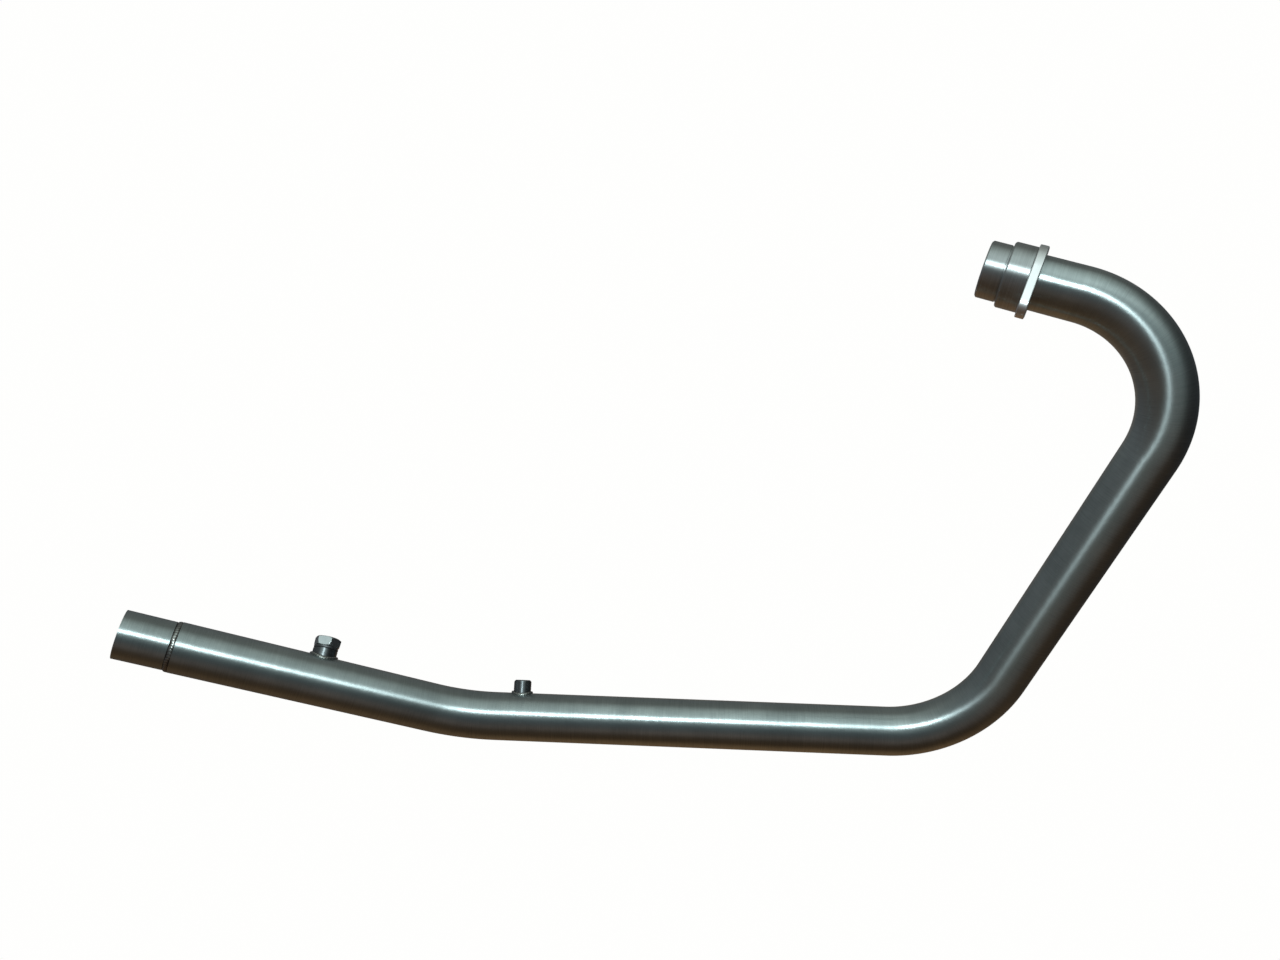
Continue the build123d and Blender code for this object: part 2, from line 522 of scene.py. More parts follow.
def linear(colour: str) -> tuple[float, float, float, float]:
    """Turns an sRGB hex colour to linear values.

    Args:
        colour: Colour such as "#8c9494".

    Returns:
        Red, green, blue and alpha.
    """
    parts = [int(colour[i : i + 2], 16) / 255 for i in (1, 3, 5)]
    values = [c / 12.92 if c <= 0.04045 else ((c + 0.055) / 1.055) ** 2.4 for c in parts]
    return values[0], values[1], values[2], 1.0


def add_node(
    tree: bpy.types.NodeTree,
    kind: str,
    links: dict[str | int, object] | None = None,
    stops: Stops = (),
    **settings: object,
) -> bpy.types.Node:
    """Adds a node with its settings, values and links.

    Args:
        tree: Node tree.
        kind: Blender's name for the node.
        links: For each input, a socket, a node whose first output is meant, or a value to set.
        stops: Stops of a colour ramp.
        settings: Properties of the node.

    Returns:
        The new node.
    """
    node = tree.nodes.new(kind)
    for name, value in settings.items():
        setattr(node, name, value)
    for name, source in (links or {}).items():
        if isinstance(source, bpy.types.Node):
            source = source.outputs[0]
        if isinstance(source, bpy.types.NodeSocket):
            tree.links.new(source, node.inputs[name])
        else:
            node.inputs[name].default_value = source
    for _ in stops[2:]:
        node.color_ramp.elements.new(1.0)
    for i, (spot, colour) in enumerate(stops):
        node.color_ramp.elements[i].position = spot
        node.color_ramp.elements[i].color = colour
    return node


@dataclass(frozen=True)
class DrawnSteel:
    """Metal with fine finishing marks that run round the piece, as from a belt or a lathe tool.

    The marks throw light along the piece, so a highlight is long along it and narrow round it. Real marks
    are under 0.1 mm apart, too fine to show, so they are drawn about half a millimetre apart.
    """

    name: str
    bright: str
    dull: str
    roughness: float
    anisotropy: float
    mark_spacing: float
    mark_length: float
    mark_depth: float
    blotch_size: float
    scratches: float = 0.2
    scratch_spacing: float = 4.0
    scratch_length: float = 60.0
    scratch_slant: tuple[float, float, float] = (0.0, 0.35, 0.5)
    swell_size: float = 6.0
    swell_depth: float = 0.02
    roughness_spread: float = 0.05

    def material(self) -> bpy.types.Material:
        """Makes the finish, or finds it where it is made already.

        Returns:
            A material that reads the "grain" and "lay" attributes of its piece.
        """
        if self.name in bpy.data.materials:
            return bpy.data.materials[self.name]
        material = bpy.data.materials.new(self.name)
        material.use_nodes = True
        tree = material.node_tree
        tree.nodes.clear()
        grain = add_node(tree, "ShaderNodeAttribute", attribute_name="grain").outputs["Vector"]
        lay = add_node(tree, "ShaderNodeAttribute", attribute_name="lay").outputs["Vector"]
        # Marks: close together along the piece, long round it
        spacing, length = 1.0 / (self.mark_spacing * MM), 1.0 / (self.mark_length * MM)
        stretched = add_node(
            tree, "ShaderNodeMapping", {"Vector": grain, "Scale": (spacing, length, length)}
        )
        marks = add_node(
            tree, "ShaderNodeTexNoise", {"Vector": stretched, "Scale": 1.0, "Detail": 3.0, "Roughness": 0.6}
        )
        # Blotches: slow changes of tone, as left by handling
        blotch_scale = 1.0 / (self.blotch_size * MM)
        blotch = add_node(
            tree,
            "ShaderNodeTexNoise",
            {"Vector": grain, "Scale": blotch_scale, "Detail": 4.0, "Roughness": 0.6},
        )
        both = add_node(tree, "ShaderNodeMath", {0: marks, 1: blotch}, operation="ADD")
        tone = add_node(tree, "ShaderNodeMath", {0: both, 1: 0.5}, operation="MULTIPLY")
        colour = add_node(
            tree,
            "ShaderNodeValToRGB",
            {"Fac": tone},
            [(0.35, linear(self.dull)), (0.65, linear(self.bright))],
        )
        rough = add_node(
            tree,
            "ShaderNodeMapRange",
            {
                "Value": tone,
                "From Min": 0.3,
                "From Max": 0.7,
                "To Min": self.roughness + self.roughness_spread,
                "To Max": self.roughness - self.roughness_spread,
            },
        )
        shader = add_node(
            tree,
            "ShaderNodeBsdfPrincipled",
            {
                "Base Color": colour,
                "Metallic": 1.0,
                "Roughness": rough,
                "Anisotropic": self.anisotropy,
                "Tangent": lay,
                "Normal": self._relief(tree, grain, marks),
            },
        )
        add_node(tree, "ShaderNodeOutputMaterial", {"Surface": shader})
        return material

    def _relief(
        self, tree: bpy.types.NodeTree, grain: bpy.types.NodeSocket, marks: bpy.types.Node
    ) -> bpy.types.Node:
        """Adds the relief: the marks, stray scratches that cross them on a slant, and a slow swell.

        Args:
            tree: Node tree.
            grain: Place along and round the piece.
            marks: Pattern of the marks.

        Returns:
            The bump node.
        """
        spacing, length = 1.0 / (self.scratch_spacing * MM), 1.0 / (self.scratch_length * MM)
        slanted = add_node(
            tree,
            "ShaderNodeMapping",
            {"Vector": grain, "Rotation": self.scratch_slant, "Scale": (length, spacing, spacing)},
        )
        stray = add_node(tree, "ShaderNodeTexNoise", {"Vector": slanted, "Scale": 1.0, "Detail": 5.0})
        scratch = add_node(
            tree, "ShaderNodeValToRGB", {"Fac": stray}, [(0.66, (0, 0, 0, 1)), (0.72, (1, 1, 1, 1))]
        )
        scored = add_node(
            tree, "ShaderNodeMath", {0: scratch, 1: -self.scratches, 2: marks}, operation="MULTIPLY_ADD"
        )
        swell_scale = 1.0 / (self.swell_size * MM)
        swell = add_node(tree, "ShaderNodeTexNoise", {"Vector": grain, "Scale": swell_scale, "Detail": 2.0})
        height = add_node(
            tree,
            "ShaderNodeMath",
            {0: swell, 1: self.swell_depth / self.mark_depth, 2: scored},
            operation="MULTIPLY_ADD",
        )
        return add_node(
            tree, "ShaderNodeBump", {"Height": height, "Strength": 1.0, "Distance": self.mark_depth * MM}
        )


@dataclass(frozen=True)
class WeldedSteel:
    """Stainless filler: painted highlight on crests, painted shade in troughs, brown heat tint between."""

    name: str
    # Colours: painted highlight on the crests, heat tint, painted shade in the troughs and toe notches
    crest: str
    tint: str
    trough: str
    crest_roughness: float
    trough_roughness: float
    grit_size: float
    grit_depth: float

    def material(self) -> bpy.types.Material:
        """Makes the finish, or finds it where it is made already.

        Returns:
            A material that reads the "crest" attribute of its piece.
        """
        if self.name in bpy.data.materials:
            return bpy.data.materials[self.name]
        material = bpy.data.materials.new(self.name)
        material.use_nodes = True
        tree = material.node_tree
        tree.nodes.clear()
        crest = add_node(tree, "ShaderNodeAttribute", attribute_name="crest").outputs["Fac"]
        where = add_node(tree, "ShaderNodeTexCoord").outputs["Object"]
        grit_scale = 1.0 / (self.grit_size * MM)
        grit = add_node(tree, "ShaderNodeTexNoise", {"Vector": where, "Scale": grit_scale, "Detail": 4.0})
        level = add_node(tree, "ShaderNodeMath", {0: grit, 1: 0.5, 2: crest}, operation="MULTIPLY_ADD")
        # The crest value picks the colour: painted shade in troughs and toe notches, painted highlight on
        # crests
        colour = add_node(
            tree,
            "ShaderNodeValToRGB",
            {"Fac": level},
            [(0.25, linear(self.trough)), (0.6, linear(self.tint)), (1.0, linear(self.crest))],
        )
        rough = add_node(
            tree,
            "ShaderNodeMapRange",
            {
                "Value": level,
                "From Min": 0.2,
                "From Max": 1.1,
                "To Min": self.trough_roughness,
                "To Max": self.crest_roughness,
            },
        )
        bump = add_node(
            tree, "ShaderNodeBump", {"Height": grit, "Strength": 0.6, "Distance": self.grit_depth * MM}
        )
        shader = add_node(
            tree,
            "ShaderNodeBsdfPrincipled",
            {"Base Color": colour, "Metallic": 1.0, "Roughness": rough, "Normal": bump},
        )
        add_node(tree, "ShaderNodeOutputMaterial", {"Surface": shader})
        return material


# Belt-polished tube: a long narrow highlight on a cool grey, with faint marks round the tube
BELT_POLISHED = DrawnSteel(
    name="belt_polished_stainless",
    bright="#c0cac9",
    dull="#a6b0b0",
    roughness=0.36,
    anisotropy=0.873,
    mark_spacing=0.5,
    mark_length=22.0,
    mark_depth=0.01,
    blotch_size=35.0,
    scratches=0.5,
    swell_size=7.0,
    swell_depth=0.1,
)
# Lathe-turned collar: brighter, with rings that pull its highlight along it
LATHE_TURNED = DrawnSteel(
    name="lathe_turned_stainless",
    bright="#ccd1d0",
    dull="#b0b5b4",
    roughness=0.42,
    anisotropy=0.85,
    mark_spacing=0.45,
    mark_length=40.0,
    mark_depth=0.012,
    blotch_size=25.0,
)
# Fittings as turned and welded, not polished after: darker, with coarser rings
UNPOLISHED = DrawnSteel(
    name="unpolished_stainless",
    bright="#8f9496",
    dull="#6f7476",
    roughness=0.4,
    anisotropy=0.8,
    mark_spacing=0.8,
    mark_length=40.0,
    mark_depth=0.03,
    blotch_size=12.0,
)
# Plated flange: a pale satin that flashes white on its rim
SATIN_PLATED = DrawnSteel(
    name="satin_plated_steel",
    bright="#f4f5f4",
    dull="#e6e8e7",
    roughness=0.42,
    anisotropy=0.3,
    mark_spacing=0.7,
    mark_length=12.0,
    mark_depth=0.01,
    blotch_size=15.0,
)
# Zinc-plated plug: a grey satin that shows bright only where a flat faces the light
ZINC_PLATED = DrawnSteel(
    name="zinc_plated_steel",
    bright="#c2c7c7",
    dull="#aab0b0",
    roughness=0.34,
    anisotropy=0.2,
    mark_spacing=0.6,
    mark_length=9.0,
    mark_depth=0.008,
    blotch_size=8.0,
)
# Soft aluminium washer, dull, with a dark tone that paints the shade under the plug's head as a darker line
# under the plug
SHADED_ALUMINIUM = DrawnSteel(
    name="soft_aluminium",
    bright="#8d8f90",
    dull="#6c6e70",
    roughness=0.5,
    anisotropy=0.3,
    mark_spacing=0.6,
    mark_length=9.0,
    mark_depth=0.01,
    blotch_size=6.0,
)
# Filler left as welded, rippled: its crests bright as painted highlight, and between them dull and brown,
# with painted shade in the troughs
AS_WELDED = WeldedSteel(
    name="weld_bead_stainless",
    crest="#a9aca8",
    tint="#6d6a66",
    trough="#2b2927",
    crest_roughness=0.24,
    trough_roughness=0.5,
    grit_size=0.5,
    grit_depth=0.1,
)


def hand_over(
    piece: bpy.types.Object, finish: DrawnSteel | WeldedSteel, slot: Slot, body: Body, *nodes: str
) -> None:
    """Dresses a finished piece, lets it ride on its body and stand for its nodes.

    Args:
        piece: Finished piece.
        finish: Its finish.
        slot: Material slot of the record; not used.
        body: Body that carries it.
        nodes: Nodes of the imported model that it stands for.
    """
    piece.data.materials.clear()
    piece.data.materials.append(finish.material())
    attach(piece, body.value)
    if nodes:
        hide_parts(*nodes)
    log.info("%s: %d faces on %s", piece.name, len(piece.data.polygons), body.value)


# Welds


def lap(phase: float) -> float:
    """Works out the height of a weld ripple that laps the one before it: a slow rise and a quick drop.

    Args:
        phase: Place along the weld, counted in ripples.

    Returns:
        Height from 0 in the trough to 1 on the crest.
    """
    peak = 0.75
    share = phase % 1.0
    return math.sin(min(share / peak, (1.0 - share) / (1.0 - peak)) * math.pi / 2)


def ripple(bead: bpy.types.Object, shape: Callable[[Vector], tuple[Vector, float]]) -> None:
    """Moves each vertex of a bead to its rippled place, keeps how near a crest it lies, and shades the bead.

    Args:
        bead: Bead, drawn about Z at the origin.
        shape: Gives a vertex's new place and its crest value, from 0 in a trough to 1 on a crest.
    """
    crest = bead.data.attributes.new("crest", "FLOAT", "POINT")
    for vertex in bead.data.vertices:
        spot, height = shape(vertex.co.copy())
        vertex.co = spot
        crest.data[vertex.index].value = height
    soften(bead, width=0.0, angle=60.0)


@dataclass(frozen=True)
class FilletBead:
    """Fillet weld laid round a wall in lapping ripples, on a flat face or on the curve of the tube."""

    name: str
    seat: Seat
    ring_radius: float
    thickness: float
    pitch: float
    # Radius of the tube that the bead is laid on, or 0 on a flat face, and how far it stands off the tube
    saddle_radius: float = 0.0
    lift: float = 0.0
    ripple_depth: float = 0.1
    ripple_bow: float = 0.25
    # Crest value in a ripple trough, which sets how dark the painted shade of the weld's colour is there
    trough_tone: float = 0.35

    def build(self) -> bpy.types.Object:
        """Models the bead.

        Returns:
            The bead, in place.
        """
        deselect()
        bpy.ops.mesh.primitive_torus_add(
            major_segments=256,
            minor_segments=16,
            major_radius=self.ring_radius * MM,
            minor_radius=self.thickness * MM,
        )
        bead = bpy.context.object
        bead.name = self.name
        ripple(bead, self._shape)
        place(bead, self.seat.matrix())
        return bead

    def _shape(self, spot: Vector) -> tuple[Vector, float]:
        """Works out bowed ripples, dropped on the saddle of the tube where there is one.

        Args:
            spot: A point of the plain ring, in metres.

        Returns:
            Its new place and its crest value.
        """
        outward = Vector((spot.x, spot.y, 0.0)).normalized()
        middle = outward * self.ring_radius * MM
        section = spot - middle
        slant = (section.dot(outward) - section.z) / (self.thickness * MM)
        count = round(math.tau * self.ring_radius / self.pitch)
        wave = lap(count * math.atan2(spot.y, spot.x) / math.tau + self.ripple_bow * slant**2)
        moved = middle + section * (1.0 - self.ripple_depth + self.ripple_depth * wave)
        if self.saddle_radius:
            moved.z += (math.sqrt(self.saddle_radius**2 - (moved.y / MM) ** 2) + self.lift) * MM
        # The crest value sets the weld's painted shade in the troughs and painted highlight on the crests
        return moved, self.trough_tone + (1.0 - self.trough_tone) * wave


def saddle_bead(name: str, seat: Seat, fitting_radius: float, tube_radius: float) -> bpy.types.Object:
    """Models the weld round the foot of a fitting on the tube.

    Args:
        name: Name of the bead.
        seat: Seat of the fitting on the tube's centre line.
        fitting_radius: Radius of the fitting's foot.
        tube_radius: Radius of the tube.

    Returns:
        The bead, in place.
    """
    leg = 2.2
    # The bead lies in the corner between the fitting and the tube
    offset, thickness, lift = leg * 0.3, leg * 0.62, leg * 0.22
    return FilletBead(
        name=name,
        seat=seat,
        ring_radius=fitting_radius + offset,
        thickness=thickness,
        pitch=leg,
        saddle_radius=tube_radius,
        lift=lift,
    ).build()


# Sub-assemblies


@dataclass
class HeaderTube:
    """The bent tube, drawn along its runs and spun round its bends."""

    route: Route
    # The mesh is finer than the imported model's facets, so it is drawn a hair small to stay inside their box
    shrink: float = 0.05
    wall: float = 1.5
    sides: int = 96
    row_length: float = 6.0
    port_radius: float = 6.9
    port_reach: float = 40.0

    def build(self) -> bpy.types.Object:
        """Models the tube, with the gas port under the sensor bung.

        Returns:
            The tube, in place.
        """
        first = self.route.runs[0]
        deselect()
        bpy.ops.mesh.primitive_circle_add(
            vertices=self.sides, radius=(self.route.tube_radius - self.shrink) * MM
        )
        tube = bpy.context.object
        tube.name = "header_tube"
        place(tube, Seat(first.start, first.direction, self.route.inlet.across).matrix())
        edit(tube)
        for run in self.route.runs:
            rows = max(2, round(run.length / self.row_length))
            if isinstance(run, Bend):
                # Spin turns against the sense of its angle
                bpy.ops.mesh.spin(steps=2 * rows, angle=-run.angle, center=run.centre * MM, axis=run.axis)
                continue
            step = run.direction * (run.length / rows * MM)
            for _ in range(rows):
                bpy.ops.mesh.extrude_region_move(TRANSFORM_OT_translate={"value": step})
        settle(tube)
        modify(tube, "SOLIDIFY", thickness=self.wall * MM, offset=-1.0, use_even_offset=True)
        port = self.route.bung.shifted(self.port_reach / 2).matrix()
        cut(tube, rod("port_drill", self.port_radius, self.port_reach, DRILL_SIDES, port))
        soften(tube, width=0.0)
        stamp(tube, self.route)
        return tube

    def dress(self) -> None:
        """Builds the tube and hands it over."""
        hand_over(self.build(), BELT_POLISHED, Slot.BRUSHED, Body.HEADER, "header_pipe")


@dataclass
class PortEnd:
    """Turned collar, its weld and the loose two-bolt flange."""

    route: Route
    bore_radius: float = 19.5
    spigot_radius: float = 23.0
    spigot_length: float = 17.0
    ring_radius: float = 26.5
    collar_length: float = 35.0
    socket_radius: float = 22.35
    socket_start: float = 22.0
    chamfer: float = 1.2
    groove_depth: float = 0.5
    groove_width: float = 1.2
    collar_edge: float = 0.2
    # Leg of the weld, and its bead's distance from the corner and thickness as shares of that
    weld_leg: float = 1.6
    weld_offset: float = 0.4
    weld_thickness: float = 0.55
    weld_pitch: float = 2.4
    flange_start: float = 35.2
    flange_thickness: float = 7.0
    flange_turn: float = 18.0
    flange_bore: float = 22.75
    flange_relief: float = 2.2
    flange_body: float = 29.0
    # A hair under the true 10.5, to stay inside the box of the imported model's facets
    ear_radius: float = 10.44
    bolt_spacing: float = 70.0
    bolt_radius: float = 4.5
    flange_edge: float = 0.8
    arc_steps: int = 24
    cutter_overrun: float = 5.0

    def build_collar(self) -> bpy.types.Object:
        """Models the collar: spigot, a relief groove at its root, shoulder ring and tube socket.

        Returns:
            The collar, in place.
        """
        root, ring = self.spigot_length, self.ring_radius
        collar = turn(
            "port_collar_turned",
            [
                (0.0, self.bore_radius),
                (0.0, self.spigot_radius - self.chamfer),
                (self.chamfer, self.spigot_radius),
                (root - self.groove_width, self.spigot_radius),
                (root - self.groove_width, self.spigot_radius - self.groove_depth),
                (root, self.spigot_radius - self.groove_depth),
                (root, ring - self.chamfer),
                (root + self.chamfer, ring),
                (self.collar_length, ring),
                (self.collar_length, self.socket_radius),
                (self.socket_start, self.socket_radius),
                (self.socket_start, self.bore_radius),
            ],
        )
        return fit(collar, self.route.inlet, self.collar_edge)

    def build_weld(self) -> bpy.types.Object:
        """Models the fillet weld between the collar and the tube.

        Returns:
            The bead, in place.
        """
        offset = self.weld_leg * self.weld_offset
        return FilletBead(
            name="collar_weld_bead",
            seat=self.route.inlet.shifted(self.collar_length + offset),
            ring_radius=self.route.tube_radius + offset,
            thickness=self.weld_leg * self.weld_thickness,
            pitch=self.weld_pitch,
        ).build()

    def build_flange(self) -> bpy.types.Object:
        """Models the flange: its outline drawn and raised, then bored, drilled and rounded.

        Returns:
            The flange, in place.
        """
        flange = trace("port_flange_plate", self._flange_outline())
        bpy.ops.mesh.edge_face_add()
        bpy.ops.transform.rotate(value=math.pi / 2, orient_axis="X", center_override=(0.0, 0.0, 0.0))
        rise = (0.0, 0.0, self.flange_thickness * MM)
        bpy.ops.mesh.extrude_region_move(TRANSFORM_OT_translate={"value": rise})
        settle(flange)
        front, back = -self.cutter_overrun, self.flange_thickness + self.cutter_overrun
        bore_cutter = turn(
            "bore_cutter",
            [
                (front, 0.0),
                (front, self.flange_bore + self.flange_relief - front),
                (self.flange_relief, self.flange_bore),
                (back, self.flange_bore),
                (back, 0.0),
            ],
        )
        cut(flange, bore_cutter)
        for reach in (-self.bolt_spacing / 2, self.bolt_spacing / 2):
            spot = Matrix.Translation((reach * MM, 0.0, 0.0))
            cut(flange, rod("bolt_drill", self.bolt_radius, CUTTER_LENGTH, DRILL_SIDES, spot))
        inlet = self.route.inlet
        ears = Quaternion(inlet.axis, math.radians(self.flange_turn)) @ inlet.across
        seat = Seat(inlet.origin, inlet.axis, ears).shifted(self.flange_start)
        return fit(flange, seat, self.flange_edge)

    def _flange_outline(self) -> Profile:
        """Draws the flange's outline: two ears and two sides of the body, each an arc tangent to the next.

        Returns:
            Points of the closed outline.
        """
        reach = self.bolt_spacing / 2
        tangent = math.acos((self.flange_body - self.ear_radius) / reach)
        arcs = [
            (reach, self.ear_radius, -tangent, tangent),
            (0.0, self.flange_body, tangent, math.pi - tangent),
            (-reach, self.ear_radius, math.pi - tangent, math.pi + tangent),
            (0.0, self.flange_body, math.pi + tangent, math.tau - tangent),
        ]
        outline = []
        for centre, radius, start, stop in arcs:
            for i in range(self.arc_steps + 1):
                angle = start + (stop - start) * i / self.arc_steps
                outline.append((radius * math.sin(angle), centre + radius * math.cos(angle)))
        return outline

    def dress(self) -> None:
        """Builds the port end and hands its pieces over."""
        hand_over(self.build_collar(), LATHE_TURNED, Slot.TURNED, Body.HEADER, "port_collar")
        hand_over(self.build_weld(), AS_WELDED, Slot.WELD, Body.HEADER, "collar_weld")
        hand_over(self.build_flange(), SATIN_PLATED, Slot.FLANGE, Body.FLANGE, "port_flange")


@dataclass
class OutletEnd:
    """Slip sleeve at the outlet and the weld that joins it to the tube."""

    route: Route
    sleeve_radius: float = 21.15
    bore_radius: float = 19.55
    reach: float = 45.5
    tongue_length: float = 20.0
    tongue_radius: float = 20.65
    tongue_edge: float = 0.4
    sleeve_edge: float = 0.15
    weld_width: float = 4.5
    weld_crown: float = 0.35
    weld_notch: float = 0.4
    weld_pitch: float = 2.6
    weld_clearance: float = 0.05
    weld_ripple: float = 0.3
    weld_bow: float = 1.2
    # Crest value in a ripple trough, which sets how dark its painted shade is
    weld_trough_tone: float = 0.35
    # Waver of the hand: share of the weld's width, waves round the tube, and radians where they start
    weld_waver: Sequence[tuple[float, int, float]] = ((0.06, 5, 1.0), (0.05, 13, 0.0))
    weld_rows: int = 14
    weld_steps: int = 720

    def build_sleeve(self) -> bpy.types.Object:
        """Models the sleeve with the tongue that goes into the tube.

        Returns:
            The sleeve, in place.
        """
        sleeve = turn(
            "outlet_slip_sleeve",
            [
                (-self.tongue_length, self.tongue_radius - self.tongue_edge),
                (-self.tongue_length, self.tongue_radius),
                (self.weld_width, self.tongue_radius),
                (self.weld_width, self.sleeve_radius),
                (self.reach, self.sleeve_radius),
                (self.reach, self.bore_radius),
                (0.0, self.bore_radius),
            ],
        )
        return fit(sleeve, self.route.outlet, self.sleeve_edge)

    def build_weld(self) -> bpy.types.Object:
        """Models the butt weld: a low, uneven bead with a notch at each toe, painted dark there as shade.

        Returns:
            The bead, in place.
        """
        floor = self.tongue_radius + self.weld_clearance
        drop = self.route.tube_radius - self.sleeve_radius
        shares = [i / self.weld_rows for i in range(self.weld_rows + 1)]
        top = [(self.weld_width * share, self.route.tube_radius - drop * share) for share in shares]
        bead = turn("outlet_weld_bead", [(0.0, floor), *top, (self.weld_width, floor)], self.weld_steps)
        ripple(bead, self._weld_shape)
        place(bead, self.route.outlet.matrix())
        return bead

    def _weld_shape(self, spot: Vector) -> tuple[Vector, float]:
        """Works out lapping ripples, crowned in the middle and notched at both toes.

        Args:
            spot: A point of the plain bead, in metres.

        Returns:
            Its new place and its crest value.
        """
        flat = Vector((spot.x, spot.y, 0.0))
        # The floor of the bead stays as it is
        if flat.length < (self.tongue_radius + 3.0 * self.weld_clearance) * MM:
            return spot, 0.0
        share = spot.z / MM / self.weld_width
        angle = math.atan2(spot.y, spot.x)
        waver = sum(size * math.sin(waves * angle + start) for size, waves, start in self.weld_waver)
        crown = max(0.0, 1.0 - (2.0 * (share + waver) - 1.0) ** 2)
        count = round(math.tau * self.route.tube_radius / self.weld_pitch)
        wave = lap(count * angle / math.tau + self.weld_bow * (share - 0.5) ** 2)
        swell = self.weld_crown * crown * (1.0 - self.weld_ripple + self.weld_ripple * wave)
        rise = swell - self.weld_notch * (1.0 - crown)
        # Crest value: nothing at the toes and low in the troughs, so the weld's colour paints shade into the
        # notches and troughs
        tone = self.weld_trough_tone + (1.0 - self.weld_trough_tone) * wave
        return spot + flat.normalized() * rise * MM, crown * tone

    def dress(self) -> None:
        """Builds the outlet end and hands its pieces over."""
        hand_over(self.build_sleeve(), BELT_POLISHED, Slot.BRUSHED, Body.HEADER, "outlet_sleeve")
        hand_over(self.build_weld(), AS_WELDED, Slot.WELD, Body.HEADER, "outlet_weld")


@dataclass
class SensorFitting:
    """Bung welded to the tail, with a hexagon plug and its washer."""

    route: Route
    blank_start: float = 16.0
    bung_radius: float = 11.0
    bung_height: float = 6.5
    bung_chamfer: float = 0.8
    bore_radius: float = 5.4
    bore_chamfer: float = 0.6
    cope_clearance: float = 0.05
    small_edge: float = 0.2
    washer_radius: float = 11.0
    washer_bore: float = 5.7
    washer_thickness: float = 2.0
    washer_round: float = 0.3
    # Share of the washer's thickness that the rounding takes on each side
    washer_round_share: float = 0.3
    across_flats: float = 21.0
    head_turn: float = 38.0
    head_height: float = 8.5
    face_inset: float = 0.4
    head_bevel: float = 30.0
    under_bevel: float = 0.6
    shank_radius: float = 5.3
    shank_length: float = 9.0
    shank_chamfer: float = 0.8
    shank_root: float = 1.0
    plug_edge: float = 0.25
    sides: int = 96
    shank_sides: int = 64

    def build_bung(self) -> bpy.types.Object:
        """Models the bung, coped to the tube.

        Returns:
            The bung, in place.
        """
        top = self.route.tube_radius + self.bung_height
        bung = turn(
            "sensor_bung_turned",
            [
                (self.blank_start, self.bore_radius),
                (self.blank_start, self.bung_radius),
                (top - self.bung_chamfer, self.bung_radius),
                (top, self.bung_radius - self.bung_chamfer),
                (top, self.bore_radius + self.bore_chamfer),
                (top - self.bore_chamfer, self.bore_radius),
            ],
            self.sides,
        )
        cope(bung, self.route.tube_radius + self.cope_clearance)
        return fit(bung, self.route.bung, self.small_edge)

    def build_washer(self) -> bpy.types.Object:
        """Models the crush washer, its rim rounded by the squeeze.

        Returns:
            The washer, in place.
        """
        thickness, rim = self.washer_thickness, self.washer_radius
        washer = turn(
            "plug_crush_washer",
            [
                (0.0, self.washer_bore),
                (0.0, rim - self.washer_round),
                (thickness * self.washer_round_share, rim),
                (thickness * (1.0 - self.washer_round_share), rim),
                (thickness, rim - self.washer_round),
                (thickness, self.washer_bore),
            ],
            self.sides,
        )
        seat = self.route.bung.shifted(self.route.tube_radius + self.bung_height)
        return fit(washer, seat, self.small_edge)

    def build_plug(self) -> bpy.types.Object:
        """Models the plug: a hexagon trimmed by a turned blank, on a plain shank.

        Returns:
            The plug, in place.
        """
        corner = self.across_flats / math.sqrt(3)
        middle = Matrix.Translation((0.0, 0.0, self.head_height / 2 * MM))
        flats = Matrix.Rotation(math.radians(90.0 + self.head_turn), 4, "Z")
        plug = rod("sensor_plug_hexagon", corner, self.head_height, 6, middle @ flats)
        slope = math.tan(math.radians(self.head_bevel))
        face = self.across_flats / 2 - self.face_inset
        blank = corner + self.face_inset
        drop = (blank - face) * slope
        under = drop * self.under_bevel
        head_blank = turn(
            "head_blank",
            [
                (0.0, 0.0),
                (0.0, face),
                (under, face + under / slope),
                (self.head_height - drop, blank),
                (self.head_height, face),
                (self.head_height, 0.0),
            ],
            self.sides,
        )
        cut(plug, head_blank, "INTERSECT")
        tip = -(self.washer_thickness + self.shank_length)
        shank = turn(
            "plug_shank",
            [
                (tip, 0.0),
                (tip, self.shank_radius - self.shank_chamfer),
                (tip + self.shank_chamfer, self.shank_radius),
                (self.shank_root, self.shank_radius),
                (self.shank_root, 0.0),
            ],
            self.shank_sides,
        )
        cut(plug, shank, "UNION")
        seat = self.route.bung.shifted(self.route.tube_radius + self.bung_height + self.washer_thickness)
        return fit(plug, seat, self.plug_edge, angle=25.0)

    def dress(self) -> None:
        """Builds the fitting and hands its pieces over."""
        hand_over(self.build_bung(), UNPOLISHED, Slot.TURNED, Body.HEADER, "sensor_bung")
        bead = saddle_bead("bung_weld_bead", self.route.bung, self.bung_radius, self.route.tube_radius)
        hand_over(bead, AS_WELDED, Slot.WELD, Body.HEADER, "bung_weld")
        # The washer's dark tone paints the shade under the plug's head
        hand_over(self.build_washer(), SHADED_ALUMINIUM, Slot.WASHER, Body.HEADER, "plug_washer")
        hand_over(self.build_plug(), ZINC_PLATED, Slot.PLUG, Body.HEADER, "sensor_plug")


